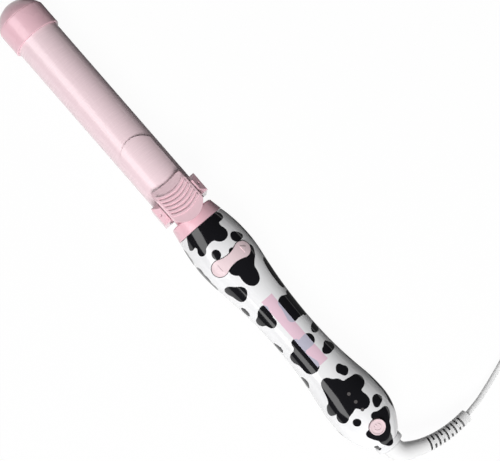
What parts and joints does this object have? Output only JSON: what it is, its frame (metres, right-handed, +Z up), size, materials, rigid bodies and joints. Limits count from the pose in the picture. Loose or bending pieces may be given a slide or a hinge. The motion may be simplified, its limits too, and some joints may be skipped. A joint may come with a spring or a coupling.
{
  "type": "rotating curling iron",
  "caption": "Rotating curling iron: hourglass handle, spinning heated barrel with domed cool tip, sprung hair clip, two-way rotate rocker, power button and swivel cord.",
  "frame": {"origin": "centre of the box of the iron without its cord, on the surface that it lies on", "axes": "+X along the iron to the tip, +Z up out of the buttons, +Y to the left of someone who holds the handle and looks along +X"},
  "size_m": [0.4561, 0.2271, 0.0479],
  "materials": {
    "printed_shell": "glossy white plastic with a black blotch print",
    "pink_plastic": "glossy pink plastic",
    "barrel_coat": "smooth pale pink ceramic-like coating",
    "dark_plastic": "matt black heat-proof plastic",
    "white_plastic": "plain white plastic",
    "soft_white": "soft white vinyl",
    "cord_white": "satin white vinyl cord cover",
    "tie_black": "black strap",
    "steel": "plain steel",
    "brass": "bright brass",
    "aluminium": "extruded aluminium",
    "heater_film": "ceramic heater in amber insulating film",
    "board": "green circuit board",
    "component": "black electronic parts",
    "lens": "smoked clear plastic",
    "led": "pale lamp body",
    "carbon": "graphite"
  },
  "bodies": {
    "handle": {"front_shell": "printed_shell", "rear_shell": "printed_shell", "shell_screws": "steel", "end_ring": "printed_shell", "front_bush": "dark_plastic", "rear_bush": "dark_plastic", "gearbox_case": "dark_plastic", "motor_can": "steel", "brush_holder": "dark_plastic", "brushes": "carbon", "switch_board": "board", "rotation_switches": "component", "rocker_pin": "steel", "control_board": "board", "board_parts": "component", "power_switch": "component", "indicator_leds": "led", "led_lenses": "lens", "swivel_socket": "white_plastic"},
    "barrel_head": {"barrel_tube": "barrel_coat", "tip_cap": "pink_plastic", "tip_insulator": "dark_plastic", "heat_spreader_upper": "aluminium", "heat_spreader_lower": "aluminium", "ptc_heater": "heater_film", "temperature_sensor": "component", "base_plug": "pink_plastic", "collar": "pink_plastic", "spindle": "steel", "spindle_gear": "white_plastic", "slip_drum": "dark_plastic", "slip_rings": "brass", "spindle_clip": "steel", "hinge_saddle": "pink_plastic", "saddle_screws": "steel", "hinge_pin": "steel", "clip_spring": "steel"},
    "clip": {"clip_spoon": "barrel_coat", "clip_lever": "pink_plastic", "lever_rivets": "steel"},
    "rocker": {"rotation_rocker": "pink_plastic"},
    "power_key": {"power_button": "pink_plastic"},
    "pinion": {"motor_pinion": "white_plastic"},
    "swivel": {"swivel_hub": "soft_white", "cord_boot": "soft_white", "cord_lead": "cord_white", "cord_coil": "cord_white", "cord_tie": "tie_black", "cord_tail": "cord_white", "plug_body": "soft_white", "plug_blades": "brass"}
  },
  "joints": [
    {"name": "barrel_spin", "type": "hinge", "parent": "handle", "child": "barrel_head", "pos_m": [-0.00085, 0, 0.0208], "axis": [1, 0, 0], "continuous": true},
    {"name": "clip_hinge", "type": "hinge", "parent": "barrel_head", "child": "clip", "pos_m": [0.02045, 0, 0.0408], "axis": [0, -1, 0], "range_deg": [0, 22], "stiffness_Nm_per_rad": 0.25, "springref_deg": -34.38, "deforming": ["clip_spring"]},
    {"name": "rocker_tilt", "type": "hinge", "parent": "handle", "child": "rocker", "pos_m": [-0.03035, 0, 0.0348], "axis": [1, 0, 0], "range_deg": [-3.5, 3.5], "stiffness_Nm_per_rad": 0.6},
    {"name": "power_press", "type": "slide", "parent": "handle", "child": "power_key", "axis": [0.2079, 0, -0.9781], "range_m": [0, 0.0008], "stiffness_N_per_m": 600},
    {"name": "pinion_spin", "type": "hinge", "parent": "handle", "child": "pinion", "pos_m": [-0.01185, 0, 0.0088], "axis": [1, 0, 0], "continuous": true},
    {"name": "cord_swivel", "type": "hinge", "parent": "handle", "child": "swivel", "pos_m": [-0.18485, 0, 0.0208], "axis": [1, 0, 0], "continuous": true}
  ],
  "couplings": [
    {"joint": "pinion_spin", "follows": "barrel_spin", "ratio": -2}
  ]
}
